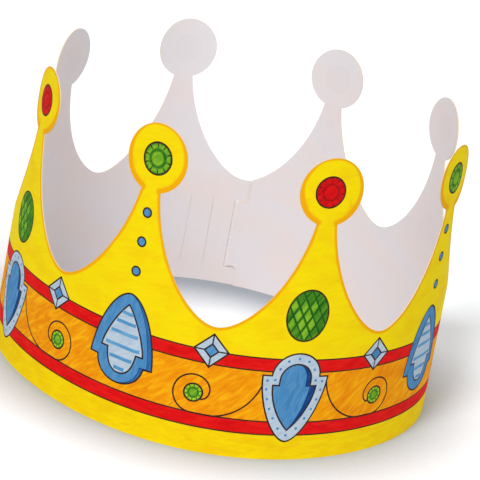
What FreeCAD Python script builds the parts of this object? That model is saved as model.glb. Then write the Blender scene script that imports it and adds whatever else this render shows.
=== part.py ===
"""Paper crown, cut from one strip of card and closed into a ring with a tab and slit.

The strip is drawn flat, with s along it and z up it, and is then wrapped round the ring.
s = 0 is the valley at the front (-Y), and s grows towards +X. Units are millimetres.
The origin is in the plane that the lower edge rests on, at the middle of the ring, +Z up.
"""
import FreeCAD
import Part
import bisect
import math
import os

Vector = FreeCAD.Vector
Point2d = FreeCAD.Base.Vector2d

# Card
CARD = 0.4                  # thickness of the card
LAP_GAP = 0.2               # air between the laps of card at the back

# Ring that the strip is bent to
RING_RADIUS = 90.0          # mean radius of the lower edge
OVAL = 0.8                  # how much wider the ring is on one diagonal
SQUARENESS = 1.1            # how much wider it is in front, behind and at the sides
WALL_LEAN_DEG = -1.1        # lean of the whole wall, inward negative

# Lean of each spike by itself, inward negative, from the closure round through the front
SPIKE_LEANS_DEG = [3.7, -2.7, -0.7, -2.1, -1.0, -0.5, -2.5, -1.4]
LEAN_START = 45.0           # height at which the spikes begin to lean
LEAN_EASE = 20.0            # height over which that lean comes in

# Outline of a spike with a round button on its tip
VALLEY_HEIGHT = 51.2        # lowest point between two spikes
BUTTON_HEIGHT = 108.4       # centre of the button
BUTTON_RADIUS = 13.2
NECK_WIDTH = 8.6            # where the button sits on the spike
NECK_SLOPE_DEG = 8.8        # slope of the flank at the neck, from upright
NECK_PULL = 25.8            # length of the flank's tangent at the neck
VALLEY_PULL = 10.1          # length of the flank's tangent at the valley

# Tab end, which lies inside
TAB_FOOT = 9.4              # height of the tab's lower edge at its neck
TAB_HEAD = 40.0             # height of its upper edge there
TAB_FLARE = 1.0             # how much wider the tab's tip is, above and below
TAB_REACH = 13.0            # how far the tab runs on past its slit
TAB_CORNER = 5.0            # corner radius of its tip
TAB_STEP = 2.4              # length over which it passes from inside to outside
SHOULDER = 5.6              # how far short of the slit the rest of this end stops
NOTCH_RADIUS = 2.6          # rounding between shoulder and tab

# Slit end, which lies outside
SLIT_COUNT = 3              # the tab is in the first, and the others make the ring smaller
SLIT_PITCH = 10.4
SLIT_OFFSET = 1.4           # the first slit, from the lowest point of its valley
SLIT_WIDTH = 0.3            # a slit with nothing in it
SLIT_CLEARANCE = 0.25       # air between the tab and the long edges of its slit
SLIT_FOOT_PLAY = 0.4        # air below the tab in its slit
SLIT_HEAD_PLAY = 1.5        # air above the tab in its slit
OUTER_LAP = 14.0            # how far this end runs on past the lowest point of its valley
END_CORNER = 4.0            # rounding of its upper corner

# Sections that the wrapped surface passes through
SECTION_STEP = 5.2          # spacing of the sections round the ring
TAB_SECTION_STEP = 0.6      # spacing of those where the tab passes through its slit
LEVEL_STEP = 10.0           # spacing of the sections up the wall
SECTION_GROWTH = 1.6        # how fast the spacing grows again beside the tab
SURFACE_MARGIN = 2.0        # how far the surface runs on past the outline
WALK_STEPS = 1440
FLAT = 1e-6                 # a cut this near z = 0 is the lower edge

SPIKES = len(SPIKE_LEANS_DEG)
LAYER = CARD + LAP_GAP
WALL_LEAN = math.tan(math.radians(WALL_LEAN_DEG))


def plan_radius(angle):
    """Radius of the lower edge at an angle from the front."""
    return RING_RADIUS + OVAL * math.sin(2 * angle) + SQUARENESS * math.cos(4 * angle)


def plan_point(angle):
    """Point of the lower edge at an angle from the front."""
    radius = plan_radius(angle)
    return Vector(radius * math.sin(angle), -radius * math.cos(angle), 0)


def walk_round():
    """Distance along the lower edge at even steps of angle, once round from the back."""
    step = 2 * math.pi / WALK_STEPS
    distances = [0.0]
    for i in range(WALK_STEPS):
        here = plan_point(-math.pi + i * step)
        there = plan_point(-math.pi + (i + 1) * step)
        distances.append(distances[-1] + here.distanceToPoint(there))
    return distances


WALK = walk_round()
LOOP = WALK[-1]
HALF_LOOP = LOOP / 2
PITCH = LOOP / SPIKES

NECK_HEIGHT = BUTTON_HEIGHT - math.sqrt(BUTTON_RADIUS ** 2 - (NECK_WIDTH / 2) ** 2)
TAB_SLIT = HALF_LOOP + SLIT_OFFSET
SHOULDER_S = TAB_SLIT - SHOULDER
TAB_END = TAB_SLIT + TAB_REACH
STRIP_START = -HALF_LOOP - OUTER_LAP
SLIT_FOOT = TAB_FOOT - TAB_FLARE - SLIT_FOOT_PLAY
SLIT_HEAD = TAB_HEAD + TAB_FLARE + SLIT_HEAD_PLAY
TAB_SLIT_WIDTH = 2 * (math.asin(CARD / LAYER) / math.pi * TAB_STEP + SLIT_CLEARANCE)


def angle_at(s):
    """Angle round the ring of a point s along the strip."""
    turns, along = divmod(s + HALF_LOOP, LOOP)
    low = min(bisect.bisect_right(WALK, along) - 1, WALK_STEPS - 1)
    share = (along - WALK[low]) / (WALK[low + 1] - WALK[low])
    return 2 * math.pi * (turns + (low + share) / WALK_STEPS) - math.pi


def spike_lean(s, z):
    """How far the spikes' own lean moves a point of the strip outward."""
    above = max(z - LEAN_START, 0.0)
    reach = above ** 2 / (above + LEAN_EASE)
    lean = 0.0
    for i, degrees in enumerate(SPIKE_LEANS_DEG):
        apart = (s - spike_centre(i) + HALF_LOOP) % LOOP - HALF_LOOP
        if abs(apart) < PITCH:
            weight = math.cos(math.pi * apart / (2 * PITCH)) ** 2
            lean += weight * math.tan(math.radians(degrees)) * reach
    return lean


def tab_lift(s):
    """How far outward the tab has stepped through its slit."""
    share = (s - TAB_SLIT) / TAB_STEP + 0.5
    share = min(max(share, 0.0), 1.0)
    return LAYER * (1 - math.cos(math.pi * share))


def spike_centre(i):
    """Place of a spike along the strip."""
    return (i + 0.5) * PITCH - HALF_LOOP


def sheet_point(s, z, side):
    """Point of the card's outer face for side 1, or its inner face for side -1."""
    angle = angle_at(s)
    lap = -LAYER * s / LOOP
    radius = plan_radius(angle) + WALL_LEAN * z + spike_lean(s, z)
    radius += lap + tab_lift(s) + side * CARD / 2
    return Vector(radius * math.sin(angle), -radius * math.cos(angle), z)


def section_places():
    """Places along the strip of the surface's sections, closer where the tab steps out."""
    first = STRIP_START - SURFACE_MARGIN
    last = TAB_END + SURFACE_MARGIN
    half_step = TAB_STEP / 2 + TAB_SECTION_STEP
    count = round(2 * half_step / TAB_SECTION_STEP)
    places = [TAB_SLIT - half_step + i * 2 * half_step / count for i in range(count + 1)]
    gap = TAB_SECTION_STEP
    while places[0] > first:
        gap = min(gap * SECTION_GROWTH, SECTION_STEP)
        places.insert(0, places[0] - gap)
    gap = TAB_SECTION_STEP
    while places[-1] < last:
        gap = min(gap * SECTION_GROWTH, SECTION_STEP)
        places.append(places[-1] + gap)
    return places


def section_levels():
    """Heights of the surface's sections, from below the outline to above it."""
    first = -SURFACE_MARGIN
    last = BUTTON_HEIGHT + BUTTON_RADIUS + SURFACE_MARGIN
    count = round((last - first) / LEVEL_STEP)
    return [first + i * (last - first) / count for i in range(count + 1)]


def spline_through(points, places):
    """Smooth curve that passes each point at its own place."""
    curve = Part.BSplineCurve()
    curve.interpolate(Points=points, Parameters=places)
    return curve


def sheet_surface(side):
    """One face of the card, bent to the ring, with s and z as its own two directions."""
    places = section_places()
    levels = section_levels()
    rows = []
    for z in levels:
        rows.append(spline_through([sheet_point(s, z, side) for s in places], places))
    columns = []
    for poles in zip(*[row.getPoles() for row in rows]):
        columns.append(spline_through(list(poles), levels))
    surface = Part.BSplineSurface()
    surface.buildFromPolesMultsKnots(
        [column.getPoles() for column in columns],
        rows[0].getMultiplicities(), columns[0].getMultiplicities(),
        rows[0].getKnots(), columns[0].getKnots(),
        False, False, rows[0].Degree, columns[0].Degree)
    return surface


def line(start, end):
    """Straight cut between two points of the flat strip."""
    return Part.Geom2d.Line2dSegment(Point2d(*start), Point2d(*end))


def arc(centre, radius, first_deg, last_deg):
    """Round cut, anticlockwise between two directions."""
    circle = Part.Geom2d.Circle2d(Point2d(*centre), radius)
    return Part.Geom2d.ArcOfCircle2d(circle, math.radians(first_deg), math.radians(last_deg))


def flank(centre, hand):
    """Concave flank of a spike, from its neck down to the valley on one hand."""
    slope = math.radians(NECK_SLOPE_DEG)
    neck = NECK_WIDTH / 2
    offsets = [
        (neck, NECK_HEIGHT),
        (neck + NECK_PULL * math.sin(slope), NECK_HEIGHT - NECK_PULL * math.cos(slope)),
        (PITCH / 2 - VALLEY_PULL, VALLEY_HEIGHT),
        (PITCH / 2, VALLEY_HEIGHT),
    ]
    curve = Part.Geom2d.BezierCurve2d()
    curve.setPoles([Point2d(centre + hand * x, z) for x, z in offsets])
    return curve


def button(centre):
    """Round button on the tip of a spike."""
    neck_deg = math.degrees(math.asin(NECK_WIDTH / 2 / BUTTON_RADIUS))
    return arc((centre, BUTTON_HEIGHT), BUTTON_RADIUS, neck_deg - 90, 270 - neck_deg)


def tab_cuts(shoulder_top):
    """Tab end of the strip, from its lower corner up to the last flank."""
    notch_s = SHOULDER_S + NOTCH_RADIUS
    tip_s = TAB_END - TAB_CORNER
    flare_s = TAB_SLIT + TAB_STEP / 2
    low = TAB_FOOT - TAB_FLARE
    high = TAB_HEAD + TAB_FLARE
    return [
        line((SHOULDER_S, 0), (SHOULDER_S, TAB_FOOT - NOTCH_RADIUS)),
        arc((notch_s, TAB_FOOT - NOTCH_RADIUS), NOTCH_RADIUS, 90, 180),
        line((notch_s, TAB_FOOT), (flare_s, low)),
        line((flare_s, low), (tip_s, low)),
        arc((tip_s, low + TAB_CORNER), TAB_CORNER, 270, 360),
        line((TAB_END, low + TAB_CORNER), (TAB_END, high - TAB_CORNER)),
        arc((tip_s, high - TAB_CORNER), TAB_CORNER, 0, 90),
        line((tip_s, high), (flare_s, high)),
        line((flare_s, high), (notch_s, TAB_HEAD)),
        arc((notch_s, TAB_HEAD + NOTCH_RADIUS), NOTCH_RADIUS, 180, 270),
        line((SHOULDER_S, TAB_HEAD + NOTCH_RADIUS), (SHOULDER_S, shoulder_top)),
    ]


def slit_end_cuts():
    """Slit end of the strip, from the last valley round to its lower corner."""
    corner_s = STRIP_START + END_CORNER
    corner_z = VALLEY_HEIGHT - END_CORNER
    return [
        line((-HALF_LOOP, VALLEY_HEIGHT), (corner_s, VALLEY_HEIGHT)),
        arc((corner_s, corner_z), END_CORNER, 90, 180),
        line((STRIP_START, corner_z), (STRIP_START, 0)),
    ]


def outline_cuts():
    """Outline of the flat strip, anticlockwise, each cut with the stretch of it that is used."""
    centres = [spike_centre(i) for i in range(SPIKES)]
    last_flank = flank(centres[-1], 1)
    shoulder_line = line((SHOULDER_S, 0), (SHOULDER_S, BUTTON_HEIGHT))
    shoulder_point = last_flank.intersectCC(shoulder_line)[0]
    cuts = [line((STRIP_START, 0), (SHOULDER_S, 0))]
    cuts += tab_cuts(shoulder_point.y)
    spans = [(cut, cut.FirstParameter, cut.LastParameter) for cut in cuts]
    for centre in reversed(centres):
        right = flank(centre, 1)
        right_end = right.LastParameter
        if centre == centres[-1]:
            right_end = right.parameter(shoulder_point)
        spans.append((right, right.FirstParameter, right_end))
        for cut in (button(centre), flank(centre, -1)):
            spans.append((cut, cut.FirstParameter, cut.LastParameter))
    for cut in slit_end_cuts():
        spans.append((cut, cut.FirstParameter, cut.LastParameter))
    return spans


def slit_cuts(i):
    """One upright slit in the slit end, as a closed clockwise loop of cuts."""
    middle = -HALF_LOOP + SLIT_OFFSET + i * SLIT_PITCH
    half = SLIT_WIDTH / 2
    if i == 0:
        half = TAB_SLIT_WIDTH / 2
    corners = [
        (middle - half, SLIT_FOOT),
        (middle - half, SLIT_HEAD),
        (middle + half, SLIT_HEAD),
        (middle + half, SLIT_FOOT),
    ]
    spans = []
    for start, end in zip(corners, corners[1:] + corners[:1]):
        cut = line(start, end)
        spans.append((cut, cut.FirstParameter, cut.LastParameter))
    return spans


def wrapped(spans, surface):
    """Cuts of the flat strip as edges on the bent surface."""
    return [cut.toShape(surface, first, last) for cut, first, last in spans]


def cut_face(outer_edge, inner_edge):
    """Narrow face of one cut through the card, flat where the cut is the lower edge."""
    face = Part.makeRuledSurface(outer_edge, inner_edge)
    if abs(face.BoundBox.ZMin) < FLAT and abs(face.BoundBox.ZMax) < FLAT:
        face = Part.Face(Part.Plane(), face.OuterWire)
    return face


def crown_band():
    """The whole strip as one solid sheet of card."""
    loops = [outline_cuts()]
    for i in range(SLIT_COUNT):
        loops.append(slit_cuts(i))
    faces = []
    edges = {}
    for side in (1, -1):
        surface = sheet_surface(side)
        edges[side] = [wrapped(spans, surface) for spans in loops]
        face = Part.Face(surface, Part.Wire(edges[side][0]))
        face.cutHoles([Part.Wire(hole) for hole in edges[side][1:]])
        faces.append(face)
    for outer_loop, inner_loop in zip(edges[1], edges[-1]):
        for outer_edge, inner_edge in zip(outer_loop, inner_loop):
            faces.append(cut_face(outer_edge, inner_edge))
    shell = Part.Shell(faces)
    shell.sewShape()
    return Part.Solid(shell)


def main():
    os.makedirs("parts", exist_ok=True)
    band = crown_band()
    band.exportStep("parts/crown_band.step")


main()
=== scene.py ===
"""Looks of the paper crown: the card of the CAD strip as a finer mesh, with its felt-pen print.

The print is drawn on the flat strip as fields of colour, with s along the strip and z up it,
both in millimetres. The strip is then cut into triangles along the edges of those fields and
wrapped round the ring by the same rule as in the part's source.
"""

import math

import bpy
import numpy as np
from mathutils import Matrix, Vector
from mathutils.geometry import delaunay_2d_cdt


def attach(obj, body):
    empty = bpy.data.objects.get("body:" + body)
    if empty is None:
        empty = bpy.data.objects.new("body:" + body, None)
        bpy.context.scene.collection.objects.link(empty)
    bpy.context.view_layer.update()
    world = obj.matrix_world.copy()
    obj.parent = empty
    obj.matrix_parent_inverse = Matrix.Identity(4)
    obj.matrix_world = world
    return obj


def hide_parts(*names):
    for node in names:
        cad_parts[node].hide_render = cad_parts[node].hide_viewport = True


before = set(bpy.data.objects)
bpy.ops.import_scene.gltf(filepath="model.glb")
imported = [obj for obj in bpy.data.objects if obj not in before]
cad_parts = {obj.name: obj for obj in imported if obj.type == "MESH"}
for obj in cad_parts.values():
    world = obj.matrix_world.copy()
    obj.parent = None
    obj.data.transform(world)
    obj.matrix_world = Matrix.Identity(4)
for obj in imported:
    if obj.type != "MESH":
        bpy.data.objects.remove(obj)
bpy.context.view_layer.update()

MM = 0.001

# Card and ring, as in the part's source
CARD = 0.4
LAYER = 0.6
RING_RADIUS = 90.0
OVAL = 0.8
SQUARENESS = 1.1
WALL_LEAN = math.tan(math.radians(-1.1))
SPIKE_LEANS_DEG = [3.7, -2.7, -0.7, -2.1, -1.0, -0.5, -2.5, -1.4]
LEAN_START = 45.0
LEAN_EASE = 20.0
VALLEY_HEIGHT = 51.2
BUTTON_HEIGHT = 108.4
BUTTON_RADIUS = 13.2
NECK_WIDTH = 8.6
NECK_SLOPE_DEG = 8.8
NECK_PULL = 25.8
VALLEY_PULL = 10.1

# Tab end and slit end, as in the part's source
TAB_FOOT = 9.4
TAB_HEAD = 40.0
TAB_FLARE = 1.0
TAB_REACH = 13.0
TAB_CORNER = 5.0
TAB_STEP = 2.4
SHOULDER = 5.6
NOTCH_RADIUS = 2.6
SLIT_COUNT = 3
SLIT_PITCH = 10.4
SLIT_OFFSET = 1.4
OUTER_LAP = 14.0
END_CORNER = 4.0

# Slits, a little closer than in the part's source, because paper springs back
SLIT_WIDTH = 0.08
SLIT_CLEARANCE = 0.06
SLIT_FOOT_PLAY = 0.05
SLIT_HEAD_PLAY = 0.05

# Mesh
INSET = 0.02                # how far the faces lie inside the CAD card
WALK_STEPS = 1440           # steps in which the ring is measured
CUT_STEP = 0.8              # spacing of points along the curved cuts
ROUND_POINTS = 3.5          # points of an ellipse, for each mm of its two half sizes together
SHARPEST = 0.45             # limits how far a corner is drawn out when a line is moved sideways
GRID_S = 2.8                # spacing of the points between the cuts
GRID_Z = 4.0
TAB_GRID_S = 0.3            # spacing where the tab passes through its slit
EDGE_ROWS = [0.5, 1.0, 1.6, 2.4]
WELD = 0.004                # points nearer than this are one point
UV_MM = 10                  # mm of the flat strip in one unit of its UV layer

# Stripes of the print
RIM_TOP = 10.6
LOWER_STRIPE_TOP = 16.0
UPPER_STRIPE_FOOT = 36.7
UPPER_STRIPE_TOP = 41.9
BLEED = 1.0                 # how far the bands run past the cuts

# Widths of the pen's dark lines
LINE = 0.66
STRIPE_LINE = 0.56
BEVEL_LINE = 0.56

# Where the print lies against the cuts: below its drawn heights, and along the strip by spike
PRINT_DROP = 0.3
PRINT_SIDEWAYS = [0.0, 0.0, 0.0, 0.4, -0.8, -0.4, 0.0, 0.0]

# Stones and dots of the spikes
BUTTON_STONE_HEIGHT = BUTTON_HEIGHT + 0.3
RED_STONE_RADIUS = 6.0
GREEN_STONE_RADIUS = 6.1
OVAL_HEIGHT = 59.9
DOT_HEIGHTS = (87.6, 76.1, 64.4)
DOT_RADIUS = 1.8
RIM_DOT_RADIUS = 0.58

# Round stones: corners of a facet as shares of the radius and of one facet's turn, and the
# tick between two facets, the ring and the table as shares of the radius
FACET_CORNERS = [(0.66, -0.36), (0.90, -0.40), (0.90, 0.40), (0.66, 0.36)]
TICK_REACH = (0.76, 0.97)
TICK_WIDTH = 0.07
RING_OUTSIDE = 0.56
RING_INSIDE = 0.51
TABLE = 0.42

# Inks of the round stones: ticks, ring, ground, facets and table
RED_STONE = ("crimson", "crimson", "scarlet_deep", "scarlet", "scarlet")
GREEN_STONE = ("line", "green", "green_mid", "leaf", "leaf")
LIME_STONE = ("line", "green_mid", "green_mid", "lime", "leaf")

# Width of the orange pen along the cut edge
FLANK_PEN = 1.5
BUTTON_PEN = 3.0
BUTTON_TOP_PEN = 0.9
PEN_SEARCH = 6.0            # farther than this from a piece of the edge, it adds no tint

# Above this height the print shows faintly on the inside
THROUGH_FOOT = VALLEY_HEIGHT + 5

SPIKES = len(SPIKE_LEANS_DEG)


def plan_radius(angle):
    """Radius of the lower edge at an angle from the front."""
    return RING_RADIUS + OVAL * np.sin(2 * angle) + SQUARENESS * np.cos(4 * angle)


ANGLES = np.linspace(-math.pi, math.pi, WALK_STEPS + 1)
PLAN_X = plan_radius(ANGLES) * np.sin(ANGLES)
PLAN_Y = -plan_radius(ANGLES) * np.cos(ANGLES)
WALK = np.concatenate([[0.0], np.cumsum(np.hypot(np.diff(PLAN_X), np.diff(PLAN_Y)))])
LOOP = float(WALK[-1])
HALF_LOOP = LOOP / 2
PITCH = LOOP / SPIKES
NECK_HEIGHT = BUTTON_HEIGHT - math.sqrt(BUTTON_RADIUS ** 2 - (NECK_WIDTH / 2) ** 2)
TAB_SLIT = HALF_LOOP + SLIT_OFFSET
SHOULDER_S = TAB_SLIT - SHOULDER
TAB_END = TAB_SLIT + TAB_REACH
STRIP_START = -HALF_LOOP - OUTER_LAP
SLIT_FOOT = TAB_FOOT - TAB_FLARE - SLIT_FOOT_PLAY
SLIT_HEAD = TAB_HEAD + TAB_FLARE + SLIT_HEAD_PLAY
TAB_SLIT_WIDTH = 2 * (math.asin(CARD / LAYER) / math.pi * TAB_STEP + SLIT_CLEARANCE)


def spike_centre(i):
    """Place of a spike along the strip."""
    return (i + 0.5) * PITCH - HALF_LOOP


def angle_at(s):
    """Angle round the ring of places along the strip."""
    turns = np.floor((s + HALF_LOOP) / LOOP)
    along = s + HALF_LOOP - turns * LOOP
    return np.interp(along, WALK, ANGLES) + 2 * math.pi * turns


def spike_lean(s, z):
    """How far the spikes' own lean moves points of the strip outward."""
    above = np.maximum(z - LEAN_START, 0.0)
    reach = above ** 2 / (above + LEAN_EASE)
    lean = np.zeros_like(s)
    for i, degrees in enumerate(SPIKE_LEANS_DEG):
        apart = (s - spike_centre(i) + HALF_LOOP) % LOOP - HALF_LOOP
        weight = np.where(np.abs(apart) < PITCH, np.cos(math.pi * apart / (2 * PITCH)) ** 2, 0.0)
        lean += weight * math.tan(math.radians(degrees)) * reach
    return lean


def wrapped(flat, side):
    """Flat points on the card's outer face for side 1, or its inner face for side -1."""
    s, z = flat[:, 0], flat[:, 1]
    angle = angle_at(s)
    radius = plan_radius(angle) + WALL_LEAN * z + spike_lean(s, z)
    # The tab steps out through its slit, and the whole strip spirals inward by one layer
    stepped = np.clip((s - TAB_SLIT) / TAB_STEP + 0.5, 0.0, 1.0)
    radius += LAYER * (1 - np.cos(math.pi * stepped)) - LAYER * s / LOOP
    radius += side * (CARD / 2 - INSET)
    return np.stack([radius * np.sin(angle), -radius * np.cos(angle), z], axis=1) * MM


def face_normals(flat, side):
    """Directions square to the bent card at flat points."""
    step = 0.05
    along = wrapped(flat + [step, 0], side) - wrapped(flat - [step, 0], side)
    upward = wrapped(flat + [0, step], side) - wrapped(flat - [0, step], side)
    normals = np.cross(along, upward) * side
    return normals / np.linalg.norm(normals, axis=1, keepdims=True)


# Flat shapes, each a list of points

def bezier(p0, p1, p2, p3):
    """Points along a cubic curve, its first and last included."""
    length = math.dist(p0, p1) + math.dist(p1, p2) + math.dist(p2, p3)
    count = max(3, round(length / CUT_STEP))
    points = []
    for i in range(count + 1):
        t = i / count
        weights = ((1 - t) ** 3, 3 * t * (1 - t) ** 2, 3 * t * t * (1 - t), t ** 3)
        points.append(tuple(sum(w * p[k] for w, p in zip(weights, (p0, p1, p2, p3)))
                            for k in (0, 1)))
    return points


def polar(x, z, radius, angle):
    """The point at a distance and an angle from another."""
    return (x + radius * math.cos(angle), z + radius * math.sin(angle))


def arc(x, z, radius, first_deg, last_deg):
    """Points along part of a circle."""
    sweep = last_deg - first_deg
    count = max(3, round(abs(math.radians(sweep)) * radius / CUT_STEP))
    return [polar(x, z, radius, math.radians(first_deg + sweep * i / count))
            for i in range(count + 1)]


def ellipse(x, z, half_width, half_height, count=None):
    """Closed ellipse."""
    count = count or max(10, round(ROUND_POINTS * (half_width + half_height)))
    angles = [2 * math.pi * i / count for i in range(count)]
    return [(x + half_width * math.cos(a), z + half_height * math.sin(a)) for a in angles]


def ellipse_quarter(x, z, half_width, half_height):
    """Upper right quarter of an ellipse, from its top."""
    count = 8
    angles = [math.radians(90 - 90 * i / count) for i in range(count + 1)]
    return [(x + half_width * math.cos(a), z + half_height * math.sin(a)) for a in angles]


def mirrored(right_half):
    """Closed shape from its right half, which is listed from the top down."""
    left_half = [(-x, z) for x, z in reversed(right_half) if abs(x) > 1e-6]
    return right_half + left_half


def moved(points, x, z=0.0):
    """The same points, moved."""
    return [(px + x, pz + z) for px, pz in points]


def narrowed(points, share):
    """The same shape with its right half narrower."""
    return [(x * share if x > 0 else x, z) for x, z in points]


def offset(points, distance, closed):
    """The line moved sideways, to its right for a distance above 0."""
    p = np.array(points)
    if closed:
        before, after = p - np.roll(p, 1, axis=0), np.roll(p, -1, axis=0) - p
    else:
        steps = np.diff(p, axis=0)
        before, after = np.vstack([steps[:1], steps]), np.vstack([steps, steps[-1:]])
    before /= np.linalg.norm(before, axis=1, keepdims=True)
    after /= np.linalg.norm(after, axis=1, keepdims=True)
    mean = before + after
    mean /= np.linalg.norm(mean, axis=1, keepdims=True)
    stretch = 1 / np.maximum((mean * before).sum(axis=1), SHARPEST)
    side = np.stack([mean[:, 1], -mean[:, 0]], axis=1)
    return [tuple(q) for q in p + side * (distance * stretch)[:, None]]


def is_anticlockwise(points):
    """Whether a closed shape runs anticlockwise."""
    p = np.array(points)
    q = np.roll(p, -1, axis=0)
    return (p[:, 0] * q[:, 1] - q[:, 0] * p[:, 1]).sum() > 0


def grown(shape, distance):
    """A closed shape made larger all round, or smaller for a distance below 0."""
    return offset(shape, distance if is_anticlockwise(shape) else -distance, True)


# Cuts of the strip

def flank(centre, hand):
    """Concave flank of a spike, from its neck down to the valley on one hand."""
    slope = math.radians(NECK_SLOPE_DEG)
    neck = NECK_WIDTH / 2
    offsets = [
        (neck, NECK_HEIGHT),
        (neck + NECK_PULL * math.sin(slope), NECK_HEIGHT - NECK_PULL * math.cos(slope)),
        (PITCH / 2 - VALLEY_PULL, VALLEY_HEIGHT),
        (PITCH / 2, VALLEY_HEIGHT),
    ]
    return bezier(*[(centre + hand * x, z) for x, z in offsets])


def spike_top(centre):
    """Both flanks of a spike and its button, from the right valley to the left one."""
    neck_deg = math.degrees(math.asin(NECK_WIDTH / 2 / BUTTON_RADIUS))
    button = arc(centre, BUTTON_HEIGHT, BUTTON_RADIUS, neck_deg - 90, 270 - neck_deg)
    return flank(centre, 1)[::-1] + button[1:-1] + flank(centre, -1)


def tab_end_cuts():
    """Tab end of the strip, upward from its lower corner."""
    notch_s = SHOULDER_S + NOTCH_RADIUS
    tip_s = TAB_END - TAB_CORNER
    flare_s = TAB_SLIT + TAB_STEP / 2
    low = TAB_FOOT - TAB_FLARE
    high = TAB_HEAD + TAB_FLARE
    cuts = [(SHOULDER_S, 0.0)]
    cuts += arc(notch_s, TAB_FOOT - NOTCH_RADIUS, NOTCH_RADIUS, 180, 90)
    cuts.append((flare_s, low))
    cuts += arc(tip_s, low + TAB_CORNER, TAB_CORNER, 270, 360)
    cuts += arc(tip_s, high - TAB_CORNER, TAB_CORNER, 0, 90)
    cuts.append((flare_s, high))
    cuts += arc(notch_s, TAB_HEAD + NOTCH_RADIUS, NOTCH_RADIUS, 270, 180)
    return cuts


def strip_outline():
    """Whole outline of the strip, anticlockwise, as one closed shape."""
    outline = [(STRIP_START, 0.0)] + tab_end_cuts()
    for i in reversed(range(SPIKES)):
        cuts = spike_top(spike_centre(i))
        if i == SPIKES - 1:
            cuts = [p for p in cuts if p[0] < SHOULDER_S]
            edge = np.array(flank(spike_centre(i), 1))
            cuts.insert(0, (SHOULDER_S, float(np.interp(SHOULDER_S, edge[:, 0], edge[:, 1]))))
        outline += cuts if i == SPIKES - 1 else cuts[1:]
    corner_s = STRIP_START + END_CORNER
    outline += arc(corner_s, VALLEY_HEIGHT - END_CORNER, END_CORNER, 90, 180)
    return outline


def slit(i):
    """One upright slit in the slit end, as a closed shape."""
    middle = -HALF_LOOP + SLIT_OFFSET + i * SLIT_PITCH
    half = TAB_SLIT_WIDTH / 2 if i == 0 else SLIT_WIDTH / 2
    return [(middle - half, SLIT_FOOT), (middle + half, SLIT_FOOT),
            (middle + half, SLIT_HEAD), (middle - half, SLIT_HEAD)]


# Print, as (ink, closed shape) in the order that they are laid down

def outlined(shape, ink):
    """A field with the pen's dark line round it."""
    return [("line", grown(shape, LINE / 2)), (ink, grown(shape, -LINE / 2))]


def stroke(points, ink="line", width=LINE):
    """A pen line, or several points joined by one."""
    right = offset(points, width / 2, False)
    left = offset(points, -width / 2, False)
    return [(ink, right + left[::-1])]


def round_stone(x, z, radius, inks, facets, turn_deg=0.0):
    """Round cut stone: a table, a ring round it, and facets out to the edge."""
    tick_ink, ring_ink, ground, facet_ink, table_ink = inks
    fields = outlined(ellipse(x, z, radius, radius), ground)
    step = 2 * math.pi / facets
    for i in range(facets):
        a = math.radians(turn_deg) + i * step
        facet = [polar(x, z, share * radius, a + turn * step) for share, turn in FACET_CORNERS]
        tick = [polar(x, z, share * radius, a + step / 2) for share in TICK_REACH]
        fields.append((facet_ink, facet))
        fields += stroke(tick, tick_ink, TICK_WIDTH * radius)
    for ink, share in ((ring_ink, RING_OUTSIDE), (ground, RING_INSIDE), (table_ink, TABLE)):
        fields.append((ink, ellipse(x, z, share * radius, share * radius)))
    return fields


def oval_stone(x, z):
    """Oval stone cut in a lattice of upright lozenges, which are light but at the upper right."""
    half_width, half_height = 8.5, 10.3
    columns, rows = 4.1, 7.2
    lozenge_width, lozenge_height = columns / 2 - 0.62, rows / 2 - 1.05
    outermost = 0.7
    light_right, light_top = 3.0, 5.5
    line_width, line_reach = 0.62, 0.97
    lozenge = [(lozenge_width, 0), (0, lozenge_height), (-lozenge_width, 0), (0, -lozenge_height)]
    fields = outlined(ellipse(x, z, half_width, half_height), "green_mid")
    for j in range(-2, 3):
        for i in range(-2, 3):
            cx = (i + 0.5 * (j % 2)) * columns
            cz = j * rows / 2
            if (cx / half_width) ** 2 + (cz / half_height) ** 2 > outermost:
                continue
            ink = "leaf" if cx < light_right and cz < light_top else "green_mid"
            fields.append((ink, moved(moved(lozenge, cx, cz), x, z)))
    slope = rows / columns
    for hand in (1, -1):
        for i in range(-4, 4):
            # The lattice line meets the ellipse where a s^2 + 2 b s + c is 0
            foot = (i + 0.5) * columns
            a = 1 / half_width ** 2 + (slope / half_height) ** 2
            b = -foot * (slope / half_height) ** 2
            c = (slope * foot / half_height) ** 2 - 1
            if b * b <= a * c:
                continue
            root = math.sqrt(b * b - a * c)
            ends = [(-b - root) / a, (-b + root) / a]
            line = [(x + line_reach * end, z + line_reach * hand * slope * (end - foot))
                    for end in ends]
            fields += stroke(line, "green", line_width)
    return fields


def diamond(x):
    """Square stone on its corner, with four pale bevels round a blue table."""
    z, half, table = 42.0, 6.7, 2.7
    line_reach = 0.97
    corners = [(half, 0), (0, half), (-half, 0), (0, -half)]
    fields = outlined(moved(corners, x, z), "pale")
    for cx, cz in corners:
        ends = [(x + cx * share, z + cz * share) for share in (line_reach, table / half)]
        fields += stroke(ends, width=BEVEL_LINE)
    inner = [(cx * table / half, cz * table / half) for cx, cz in corners]
    return fields + outlined(moved(inner, x, z), "blue")


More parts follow.
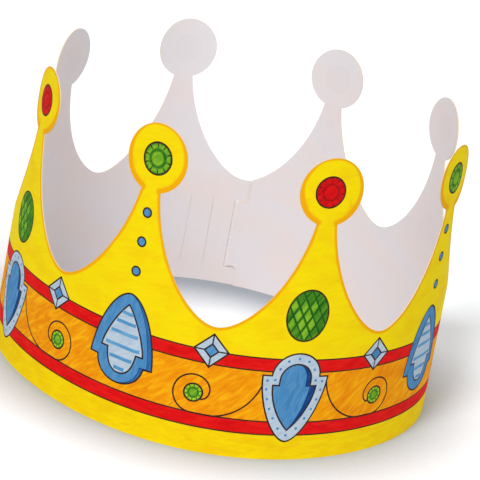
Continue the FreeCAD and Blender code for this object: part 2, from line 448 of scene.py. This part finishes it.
def shield(x):
    """Point-down cartouche with a dotted pale rim and a blue stone, its right side in shade."""
    light_share = 0.72
    rim_side = bezier((13.5, 35.1), (13.1, 23.0), (5.6, 8.2), (0.0, 8.0))
    rim = mirrored(ellipse_quarter(0.0, 35.1, 9.9, 9.4) + rim_side)
    stone_side = bezier((9.0, 31.2), (8.6, 24.0), (4.6, 17.0), (0.0, 12.7))
    stone = mirrored(ellipse_quarter(0.0, 33.7, 6.4, 6.4) + [(6.4, 31.2)] + stone_side)
    fields = outlined(moved(rim, x), "pale")
    fields += outlined(moved(stone, x), "blue_deep")
    light = narrowed(grown(stone, -LINE / 2), light_share)
    fields.append(("blue", moved(light, x)))
    dots = [(0.0, 42.3), (4.2, 41.2), (7.1, 37.9), (8.4, 33.4), (11.4, 33.0), (11.3, 29.4),
            (10.3, 25.4), (8.7, 21.4), (6.6, 17.6), (3.8, 13.4), (0.0, 10.6)]
    for dx, z in dots:
        for hand in (1, -1) if dx else (1,):
            fields.append(("blue", ellipse(x + hand * dx, z, RIM_DOT_RADIUS, RIM_DOT_RADIUS, 8)))
    return fields


def bell(x):
    """Point-up cartouche with a blue rim, in shade on the right, and a pale hatched middle."""
    light_share = 0.87
    shade_line, hatch_width = 0.25, 1.4
    rim = mirrored(bezier((0.0, 55.2), (6.2, 54.8), (12.6, 42.6), (13.7, 27.6))
                   + bezier((10.2, 27.4), (9.3, 21.4), (4.6, 18.9), (0.0, 18.9)))
    middle = mirrored(bezier((0.0, 50.8), (3.4, 47.4), (8.4, 38.0), (9.2, 31.8))
                      + bezier((6.3, 31.8), (5.7, 25.6), (3.4, 22.9), (0.0, 22.9)))
    fields = outlined(moved(rim, x), "blue_dark")
    light = narrowed(grown(rim, -LINE / 2), light_share)
    fields.append(("blue", moved(light, x)))
    fields += stroke(moved([p for p in light if p[0] > 1.0], x), "blue_deep", shade_line)
    fields += outlined(moved(middle, x), "pale")
    hatches = [(47.1, 2.4), (43.3, 4.3), (38.9, 6.0), (33.6, 7.6), (28.8, 5.0), (24.6, 2.3)]
    for z, half in hatches:
        third = half / 3
        wave = bezier((x - half, z), (x - third, z + 0.35),
                      (x + third, z - 0.3), (x + half, z + 0.1))
        fields += stroke(wave, "sky", hatch_width)
    return fields


def scroll(x, hand):
    """Scroll from a shield's shoulder, down to the lower stripe and round a small stone.

    It winds closer as it goes, and hooks inward at its end.
    """
    stone_x, stone_z, stone_radius = 39.4, 24.1, 3.6
    turn_deg, wide, closing, hook = 305, 8.2, 1.5, 2.8
    steps = 39
    sweep = bezier((13.0, 34.6), (14.6, 24.0), (22.0, 17.2), (31.0, 15.9))
    turns = []
    for i in range(steps + 1):
        radius = wide - closing * (i / steps) - hook * (i / steps) ** 9
        a = math.radians(-90 + turn_deg * i / steps)
        turns.append(polar(stone_x, stone_z, radius, a))
    path = [(x + hand * dx, z) for dx, z in sweep + turns]
    stone = round_stone(x + hand * stone_x, stone_z, stone_radius, LIME_STONE, facets=10)
    return stroke(path) + stone


def print_fields():
    """Everything that is printed on the strip."""
    first, last = STRIP_START - BLEED, TAB_END + BLEED
    bands = [("gold", -BLEED, RIM_TOP), ("red", RIM_TOP, LOWER_STRIPE_TOP),
             ("orange", LOWER_STRIPE_TOP, UPPER_STRIPE_FOOT),
             ("red", UPPER_STRIPE_FOOT, UPPER_STRIPE_TOP)]
    fields = []
    for ink, low, high in bands:
        fields.append((ink, [(first, low), (last, low), (last, high), (first, high)]))
    for z in (RIM_TOP, LOWER_STRIPE_TOP, UPPER_STRIPE_FOOT, UPPER_STRIPE_TOP):
        fields += stroke([(first, z), (last, z)], width=STRIPE_LINE)
    for i in range(SPIKES):
        x = spike_centre(i) + PRINT_SIDEWAYS[i]
        if i % 2 == 0:
            if i > 0:
                fields += scroll(spike_centre(i), -1)
            fields += scroll(x, 1)
            fields += shield(x)
            fields += oval_stone(x, OVAL_HEIGHT)
            fields += round_stone(x, BUTTON_STONE_HEIGHT, RED_STONE_RADIUS, RED_STONE,
                                  facets=11, turn_deg=12)
        else:
            fields += bell(x)
            for z in DOT_HEIGHTS:
                fields += outlined(ellipse(x, z, DOT_RADIUS, DOT_RADIUS), "blue")
            fields += round_stone(x, BUTTON_STONE_HEIGHT, GREEN_STONE_RADIUS, GREEN_STONE,
                                  facets=10, turn_deg=10)
        if i > 0:
            fields += diamond(spike_centre(i) - PITCH / 2)
    fields = [(ink, moved(shape, 0.0, -PRINT_DROP)) for ink, shape in fields]
    bare = TAB_SLIT - TAB_STEP / 2
    fields.append(("bare", [(bare, 0), (last, 0), (last, VALLEY_HEIGHT), (bare, VALLEY_HEIGHT)]))
    return fields


# Mesh of the printed card

def inside(points, shape):
    """Which of the points lie inside a closed shape."""
    x, z = points[:, 0], points[:, 1]
    found = np.zeros(len(points), bool)
    ends = np.array(shape)
    for (x0, z0), (x1, z1) in zip(ends, np.roll(ends, -1, axis=0)):
        if z0 == z1:
            continue
        crosses = (z0 > z) != (z1 > z)
        found ^= crosses & (x < x0 + (z - z0) * (x1 - x0) / (z1 - z0))
    return found


def grid_points():
    """Points between the cuts, closer together where the tab steps out."""
    places = list(np.arange(STRIP_START, TAB_SLIT - TAB_STEP, GRID_S))
    places += list(np.arange(TAB_SLIT - TAB_STEP, TAB_SLIT + TAB_STEP, TAB_GRID_S))
    places += list(np.arange(TAB_SLIT + TAB_STEP, TAB_END, GRID_S))
    levels = np.arange(GRID_Z / 2, BUTTON_HEIGHT + BUTTON_RADIUS, GRID_Z)
    return [(s, z) for s in places for z in levels]


def pen_edge():
    """The cut edge that the orange pen follows, as one open line."""
    edge = []
    for i in reversed(range(SPIKES)):
        cuts = spike_top(spike_centre(i))
        edge += cuts if i == SPIKES - 1 else cuts[1:]
    return edge


def edge_tint(flat):
    """How strongly the orange pen shows at flat points, from 1 at the cut edge to 0."""
    edge = np.array(pen_edge())
    nearest = np.full(len(flat), 1e9)
    for a, b in zip(edge[:-1], edge[1:]):
        near = (np.abs(flat - (a + b) / 2) < PEN_SEARCH).all(axis=1)
        p = flat[near] - a
        share = np.clip(p @ (b - a) / ((b - a) @ (b - a)), 0, 1)
        apart = np.linalg.norm(p - share[:, None] * (b - a), axis=1)
        nearest[near] = np.minimum(nearest[near], apart)
    width = np.full(len(flat), FLANK_PEN)
    for i in range(SPIKES):
        dx, dz = flat[:, 0] - spike_centre(i), flat[:, 1] - BUTTON_HEIGHT
        on = (np.hypot(dx, dz) < BUTTON_RADIUS + 0.1) & (flat[:, 1] > NECK_HEIGHT - 1)
        # From 0 at a button's top to 1 at its foot, and a little wider at its sides
        share = 0.5 - 0.75 * dz / BUTTON_RADIUS + 0.25 * np.abs(dx) / BUTTON_RADIUS
        button_width = BUTTON_TOP_PEN + (BUTTON_PEN - BUTTON_TOP_PEN) * np.clip(share, 0, 1)
        width[on] = button_width[on]
    return np.clip(1 - nearest / width, 0, 1)


def divided(shape):
    """The same closed shape, with long sides divided so that they can bend round the ring."""
    points = []
    for (x0, z0), (x1, z1) in zip(shape, shape[1:] + shape[:1]):
        count = max(1, math.ceil(math.dist((x0, z0), (x1, z1)) / GRID_S))
        points += [(x0 + (x1 - x0) * i / count, z0 + (z1 - z0) * i / count) for i in range(count)]
    return points


def flat_triangles(fields):
    """The strip cut into triangles along its outline, its slits and every field's edge."""
    outline = strip_outline()
    slits = [slit(i) for i in range(SLIT_COUNT)]
    points, joins = [], []
    for shape in [outline] + slits + [shape for ink, shape in fields]:
        shape = divided(shape)
        first = len(points)
        count = len(shape)
        points += shape
        joins += [(first + i, first + (i + 1) % count) for i in range(count)]
    points += grid_points()
    for distance in EDGE_ROWS:
        points += offset(pen_edge(), -distance, False)
    coords = [Vector((float(s), float(z))) for s, z in points]
    found = delaunay_2d_cdt(coords, joins, [], 0, WELD, False)
    flat = np.array([tuple(v) for v in found[0]])
    triangles = np.array(found[2], dtype=int)
    middles = flat[triangles].mean(axis=1)
    kept = inside(middles, outline)
    for shape in slits:
        kept &= ~inside(middles, shape)
    return flat, triangles[kept], middles[kept]


def inks_of(middles, fields):
    """The ink on each triangle: the last field that its middle lies in."""
    inks = np.full(len(middles), "yellow", dtype="<U20")
    for ink, shape in fields:
        ends = np.array(shape)
        low, high = ends.min(axis=0), ends.max(axis=0)
        near = np.nonzero(((middles > low) & (middles < high)).all(axis=1))[0]
        inks[near[inside(middles[near], shape)]] = ink
    return inks


# Inks and bare card

# Each ink's pale, full and deep colour, 0 to 255, and the turn of the pen's strokes in degrees
INKS = {
    "line": ((70, 48, 36), (54, 36, 28), (44, 28, 22), 0),
    "red": ((236, 28, 20), (229, 16, 17), (220, 8, 15), 4),
    "gold": ((252, 222, 1), (249, 215, 1), (246, 208, 1), 3),
    "orange": ((255, 186, 12), (249, 162, 3), (242, 148, 1), 40),
    "blue": ((92, 152, 202), (78, 142, 196), (66, 132, 188), 75),
    "blue_dark": ((60, 118, 180), (50, 108, 172), (40, 96, 162), 75),
    "blue_deep": ((28, 80, 146), (18, 68, 134), (12, 58, 122), 75),
    "sky": ((108, 170, 214), (92, 158, 206), (80, 148, 198), 0),
    "pale": ((196, 212, 227), (187, 206, 223), (178, 198, 218), 30),
    "green": ((44, 108, 26), (30, 92, 20), (20, 76, 16), 55),
    "green_mid": ((86, 148, 32), (68, 132, 28), (52, 114, 24), 55),
    "leaf": ((142, 192, 44), (122, 178, 40), (100, 162, 36), 55),
    "lime": ((178, 218, 50), (160, 206, 42), (138, 190, 38), 55),
    "crimson": ((170, 18, 22), (150, 12, 18), (128, 8, 16), 40),
    "scarlet_deep": ((212, 18, 22), (198, 12, 18), (180, 8, 16), 40),
    "scarlet": ((228, 20, 22), (220, 12, 16), (208, 8, 14), 40),
    "yellow": ((254, 228, 1), (253, 225, 1), (252, 221, 1), 12),
}
EDGE_ORANGE = (248, 176, 2)

# Tint of an ink's deeper patches, by which its colour is multiplied
PATCHES = {
    "red": (0.93, 0.8, 0.8),
    "gold": (0.97, 0.9, 0.8),
    "orange": (0.93, 0.78, 0.6),
    "yellow": (0.98, 0.9, 0.8),
}
PLAIN_PATCH = (0.955, 0.955, 0.955)

# Bare card: its colours, how far print that shows through darkens it, and its faint clouds
WHITE_CARD = (246, 241, 240)
INSIDE_CARD = (240, 233, 233)
THROUGH_CARD = (239, 232, 233)
CUT_CARD = (240, 222, 176)
THROUGH_SHADE = 0.988
WARM_TINT = (1.0, 0.984, 0.978)
COOL_TINT = (0.984, 0.99, 1.0)

# Surface of ink and card
MATT = 0.1                  # specular level
INK_ROUGHNESS = 0.7
CARD_ROUGHNESS = 0.75
GRAIN_STRENGTH = 0.12
GRAIN_HEIGHT = 0.0001       # metres

BLACK = (0, 0, 0, 1)
WHITE = (1, 1, 1, 1)


def linear(rgb):
    """A colour as read on a screen, 0 to 255, as linear light."""
    shares = [c / 255 for c in rgb]
    return [c / 12.92 if c <= 0.04045 else ((c + 0.055) / 1.055) ** 2.4 for c in shares]


def rgba(rgb):
    """A colour as read on a screen, 0 to 255, for a socket."""
    return (*linear(rgb), 1.0)


class Nodes:
    """Short ways to add and join the nodes of one material."""

    def __init__(self, name):
        self.material = bpy.data.materials.new(name)
        self.material.use_nodes = True
        self.tree = self.material.node_tree
        self.shader = self.tree.nodes["Principled BSDF"]

    def add(self, kind, **settings):
        """A new node with some of its settings."""
        node = self.tree.nodes.new(kind)
        for key, value in settings.items():
            setattr(node, key, value)
        return node

    def join(self, output, target):
        """A link from an output to an input."""
        self.tree.links.new(output, target)

    def strip_place(self, turn_deg, scale):
        """Place on the flat strip, turned and then stretched, for a texture."""
        place = self.add("ShaderNodeUVMap", uv_map="strip")
        mapping = self.add("ShaderNodeMapping", vector_type="TEXTURE")
        mapping.inputs["Rotation"].default_value = (0, 0, math.radians(turn_deg))
        mapping.inputs["Scale"].default_value = (1 / scale[0], 1 / scale[1], 1)
        self.join(place.outputs["UV"], mapping.inputs["Vector"])
        return mapping.outputs["Vector"]

    def noise(self, vector, scale, detail=2.0, distortion=0.0):
        """Noise between 0 and 1 at a place."""
        node = self.add("ShaderNodeTexNoise")
        node.inputs["Scale"].default_value = scale
        node.inputs["Detail"].default_value = detail
        node.inputs["Distortion"].default_value = distortion
        self.join(vector, node.inputs["Vector"])
        return node.outputs["Fac"]

    def ramp(self, factor, stops):
        """A colour that changes with a factor between the given stops."""
        node = self.add("ShaderNodeValToRGB")
        elements = node.color_ramp.elements
        while len(elements) < len(stops):
            elements.new(0.5)
        for element, (position, colour) in zip(elements, stops):
            element.position = position
            element.color = colour
        self.join(factor, node.inputs["Fac"])
        return node.outputs["Color"]

    def mix(self, factor, a, b, blend="MIX"):
        """Two colours mixed, each given as a colour or as an output."""
        node = self.add("ShaderNodeMix", data_type="RGBA", blend_type=blend)
        if isinstance(factor, float):
            node.inputs["Factor"].default_value = factor
        else:
            self.join(factor, node.inputs["Factor"])
        for value, socket in ((a, node.inputs[6]), (b, node.inputs[7])):
            if isinstance(value, tuple):
                socket.default_value = value
            else:
                self.join(value, socket)
        return node.outputs[2]

    def bump(self, height, strength, distance):
        """A fine relief on the material's surface."""
        node = self.add("ShaderNodeBump")
        node.inputs["Strength"].default_value = strength
        node.inputs["Distance"].default_value = distance
        self.join(height, node.inputs["Height"])
        self.join(node.outputs["Normal"], self.shader.inputs["Normal"])


def matt_surface(nodes, colour, roughness):
    """A matt surface with the fine tooth of card."""
    nodes.join(colour, nodes.shader.inputs["Base Color"])
    nodes.shader.inputs["Roughness"].default_value = roughness
    nodes.shader.inputs["Specular IOR Level"].default_value = MATT
    grain = nodes.noise(nodes.strip_place(0, (1, 1)), scale=9.0, detail=3.0)
    nodes.bump(grain, GRAIN_STRENGTH, GRAIN_HEIGHT)


def pen_edge_over(nodes, colour):
    """The orange pen's soft and uneven stroke along the cut edge, over another colour."""
    tint = nodes.add("ShaderNodeAttribute", attribute_name="edge_tint")
    wander = nodes.noise(nodes.strip_place(0, (1, 1)), scale=1.2)
    sway = nodes.add("ShaderNodeMath", operation="MULTIPLY_ADD")
    sway.inputs[1].default_value = 0.45
    sway.inputs[2].default_value = -0.22
    nodes.join(wander, sway.inputs[0])
    total = nodes.add("ShaderNodeMath", operation="ADD")
    nodes.join(tint.outputs["Fac"], total.inputs[0])
    nodes.join(sway.outputs[0], total.inputs[1])
    share = nodes.ramp(total.outputs[0], [(0.1, BLACK), (0.44, WHITE)])
    return nodes.mix(share, colour, rgba(EDGE_ORANGE))


def ink_material(ink):
    """Felt-pen ink: overlapping strokes along one direction, with deeper patches."""
    pale, full, deep, turn_deg = INKS[ink]
    nodes = Nodes("ink_" + ink)
    strokes = nodes.noise(nodes.strip_place(turn_deg, (1.0, 4.2)), scale=1.4, distortion=0.9)
    colour = nodes.ramp(strokes, [(0.34, rgba(deep)), (0.5, rgba(full)), (0.66, rgba(pale))])
    patches = nodes.noise(nodes.strip_place(0, (0.8, 1.3)), scale=0.9, distortion=0.3)
    shade = nodes.ramp(patches, [(0.32, (*PATCHES.get(ink, PLAIN_PATCH), 1)), (0.54, WHITE)])
    colour = nodes.mix(1.0, colour, shade, "MULTIPLY")
    if ink == "yellow":
        colour = pen_edge_over(nodes, colour)
    matt_surface(nodes, colour, INK_ROUGHNESS)
    return nodes.material


def card_material(name, rgb, shade=1.0):
    """Bare card, a little pink in places and a little blue in others."""
    nodes = Nodes(name)
    place = nodes.strip_place(20, (0.5, 1.4))
    clouds = nodes.noise(place, scale=0.35, detail=3.0, distortion=0.8)
    warm = tuple(c * d for c, d in zip(rgb, WARM_TINT))
    cool = tuple(c * d for c, d in zip(rgb, COOL_TINT))
    colour = nodes.ramp(clouds, [(0.38, rgba(cool)), (0.6, rgba(warm))])
    colour = nodes.mix(1.0, colour, (shade, shade, shade, 1.0), "MULTIPLY")
    matt_surface(nodes, colour, CARD_ROUGHNESS)
    return nodes.material


def make_materials():
    """Every finish of the card, in the order of the mesh's slots."""
    finishes = {ink: ink_material(ink) for ink in INKS}
    finishes["bare"] = card_material("card_bare", WHITE_CARD)
    finishes["inside"] = card_material("card_inside", INSIDE_CARD)
    finishes["through"] = card_material("card_print_through", THROUGH_CARD, THROUGH_SHADE)
    finishes["cut"] = card_material("card_cut_edge", CUT_CARD)
    return finishes


def build_card():
    """The printed card as one closed mesh, its outer face first, then its inner one and its rim."""
    fields = print_fields()
    flat, triangles, middles = flat_triangles(fields)

    # Only the points that a kept triangle uses
    used = np.unique(triangles)
    renumber = np.full(len(flat), -1)
    renumber[used] = np.arange(len(used))
    flat, triangles = flat[used], renumber[triangles]
    count = len(flat)
    inks = inks_of(middles, fields)
    materials = make_materials()
    names = list(materials)

    # The rim is every side that only one triangle has
    directed = np.vstack([triangles[:, [0, 1]], triangles[:, [1, 2]], triangles[:, [2, 0]]])
    pairs = set(map(tuple, directed))
    rim = np.array([(a, b) for a, b in pairs if (b, a) not in pairs])

    outer = wrapped(flat, 1)
    inner = wrapped(flat, -1)
    inner_triangles = triangles[:, ::-1] + count
    edge_quads = np.stack([rim[:, 1], rim[:, 0], rim[:, 0] + count, rim[:, 1] + count], axis=1)
    faces = [tuple(map(int, f)) for f in triangles]
    faces += [tuple(map(int, f)) for f in inner_triangles]
    faces += [tuple(map(int, f)) for f in edge_quads]

    mesh = bpy.data.meshes.new("crown_card")
    mesh.from_pydata([tuple(p) for p in np.vstack([outer, inner])], [], faces)
    for name in names:
        mesh.materials.append(materials[name])
    shows = (middles[:, 1] > THROUGH_FOOT) & (inks != "yellow")
    outside_slots = [names.index(ink) for ink in inks]
    inside_slots = [names.index("through" if show else "inside") for show in shows]
    cut_slots = [names.index("cut")] * len(edge_quads)
    mesh.polygons.foreach_set("material_index", outside_slots + inside_slots + cut_slots)
    mesh.polygons.foreach_set("use_smooth", [True] * len(faces))

    place = mesh.uv_layers.new(name="strip")
    corner = np.concatenate([np.array(f) for f in faces])
    place.data.foreach_set("uv", (np.vstack([flat, flat])[corner] / UV_MM).ravel())
    tint = mesh.attributes.new("edge_tint", "FLOAT", "POINT")
    strength = edge_tint(flat)
    tint.data.foreach_set("value", np.concatenate([strength, strength]))

    # Smooth across both faces of the card, and square to the cut along the rim
    face_corner_normals = np.vstack([face_normals(flat, 1), face_normals(flat, -1)])[corner]
    quads = np.vstack([outer, inner])[edge_quads]
    across = np.cross(quads[:, 1] - quads[:, 0], quads[:, 2] - quads[:, 1])
    across /= np.maximum(np.linalg.norm(across, axis=1, keepdims=True), 1e-12)
    face_corner_normals[len(corner) - 4 * len(edge_quads):] = np.repeat(across, 4, axis=0)
    mesh.normals_split_custom_set([tuple(n) for n in face_corner_normals])
    mesh.update()
    card = bpy.data.objects.new("crown_card", mesh)
    bpy.context.scene.collection.objects.link(card)
    print("crown_card triangles", 2 * len(triangles) + 2 * len(edge_quads))
    return card


card = build_card()
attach(card, "root")
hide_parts("crown_band")

# Floor and light

FLOOR_SIZE = 12.0
# Painted shade on the floor near the card: its reach, its deepest colour (tinted cool against the
# warm light off the yellow card) and its colour in the open
PAINTED_SHADE_REACH = 0.055         # how near the card has to be to shade the floor, in metres
PAINTED_SHADE_DEEP = (0.22, 0.25, 0.29, 1)
PAINTED_SHADE_NONE = (0.96, 0.98, 1, 1)
FLOOR_GLOW = 0.13
FLOOR_DULL = (0.5, 0.5, 0.5, 1)
WORLD_LIGHT = 0.42


def background_rays(tree):
    """1 for rays from the camera, off gloss or through glass, and 0 for all other rays."""
    path = tree.nodes.new("ShaderNodeLightPath")
    share = path.outputs["Is Camera Ray"]
    for ray in ("Is Glossy Ray", "Is Transmission Ray"):
        either = tree.nodes.new("ShaderNodeMath")
        either.operation = "MAXIMUM"
        tree.links.new(share, either.inputs[0])
        tree.links.new(path.outputs[ray], either.inputs[1])
        share = either.outputs[0]
    return share


def make_floor():
    """White floor, which looks whiter to the camera than it is to the light, with a painted shade
    near the card in the colour that the camera sees.
    """
    bpy.ops.mesh.primitive_plane_add(size=FLOOR_SIZE)
    floor = bpy.context.object
    floor.name = "floor"
    nodes = Nodes("floor_white")
    tree = nodes.tree
    # Painted shade: the colour the camera sees runs from cool grey where the card hides the floor's
    # surroundings to white in the open
    painted_shade_openness = nodes.add("ShaderNodeAmbientOcclusion", samples=16)
    painted_shade_openness.inputs["Distance"].default_value = PAINTED_SHADE_REACH
    shade = nodes.ramp(painted_shade_openness.outputs["AO"], [(0.48, PAINTED_SHADE_DEEP), (0.86, PAINTED_SHADE_NONE)])
    tree.nodes.remove(nodes.shader)
    output = tree.nodes["Material Output"]
    dull = nodes.add("ShaderNodeBsdfDiffuse")
    dull.inputs["Color"].default_value = FLOOR_DULL
    seen = nodes.add("ShaderNodeBsdfDiffuse")
    nodes.join(shade, seen.inputs["Color"])
    glow = nodes.add("ShaderNodeEmission")
    glow.inputs["Strength"].default_value = FLOOR_GLOW
    lit = nodes.add("ShaderNodeAddShader")
    nodes.join(seen.outputs[0], lit.inputs[0])
    nodes.join(glow.outputs[0], lit.inputs[1])
    choice = nodes.add("ShaderNodeMixShader")
    nodes.join(background_rays(tree), choice.inputs["Fac"])
    nodes.join(dull.outputs[0], choice.inputs[1])
    nodes.join(lit.outputs[0], choice.inputs[2])
    nodes.join(choice.outputs[0], output.inputs["Surface"])
    floor.data.materials.append(nodes.material)


def make_sun(name, azimuth_deg, elevation_deg, strength, spread_deg):
    """A wide, even lamp from one direction; azimuth 0 is the front, above 0 to the right."""
    lamp = bpy.data.lights.new(name, "SUN")
    lamp.energy = strength
    lamp.angle = math.radians(spread_deg)
    holder = bpy.data.objects.new(name, lamp)
    a, e = math.radians(azimuth_deg), math.radians(elevation_deg)
    towards = Vector((math.sin(a) * math.cos(e), -math.cos(a) * math.cos(e), math.sin(e)))
    holder.rotation_euler = towards.to_track_quat("Z", "Y").to_euler()
    bpy.context.scene.collection.objects.link(holder)


def make_world():
    """Even white surroundings."""
    world = bpy.data.worlds.new("studio")
    world.use_nodes = True
    tree = world.node_tree
    background = tree.nodes["Background"]
    background.inputs["Color"].default_value = WHITE
    background.inputs["Strength"].default_value = WORLD_LIGHT
    seen = tree.nodes.new("ShaderNodeBackground")
    seen.inputs["Color"].default_value = WHITE
    seen.inputs["Strength"].default_value = 1.0
    choice = tree.nodes.new("ShaderNodeMixShader")
    tree.links.new(background_rays(tree), choice.inputs["Fac"])
    tree.links.new(background.outputs[0], choice.inputs[1])
    tree.links.new(seen.outputs[0], choice.inputs[2])
    tree.links.new(choice.outputs[0], tree.nodes["World Output"].inputs["Surface"])
    bpy.context.scene.world = world


make_floor()
make_world()
make_sun("key", azimuth_deg=-30, elevation_deg=44, strength=1.95, spread_deg=18)
make_sun("fill", azimuth_deg=60, elevation_deg=30, strength=0.85, spread_deg=60)

# Camera, as fitted to the photograph

FOCAL_PIXELS = 2115.8
PICTURE_PIXELS = 480
TILT_DEG = 19.598
ROLL_DEG = 10.611
TURN_DEG = 0.210
SHIFT_MM = Vector((-12.585, 889.319, -50.071))


def make_camera():
    """Camera whose rows of turning are right, forward and up."""
    tilt = Matrix.Rotation(math.radians(TILT_DEG), 3, "X")
    roll = Matrix.Rotation(math.radians(ROLL_DEG), 3, "Y")
    turn = Matrix.Rotation(math.radians(TURN_DEG), 3, "Z")
    rows = roll @ tilt @ turn
    data = bpy.data.cameras.new("camera")
    data.sensor_width = 36.0
    data.lens = FOCAL_PIXELS * data.sensor_width / PICTURE_PIXELS
    data.clip_start = 0.01
    data.clip_end = 100.0
    camera = bpy.data.objects.new("camera", data)
    place = -(rows.transposed() @ SHIFT_MM) * MM
    axes = Matrix((rows[0], rows[2], -rows[1])).transposed()
    camera.matrix_world = Matrix.Translation(place) @ axes.to_4x4()
    bpy.context.scene.collection.objects.link(camera)
    bpy.context.scene.camera = camera


make_camera()
bpy.context.scene.view_settings.view_transform = "Standard"
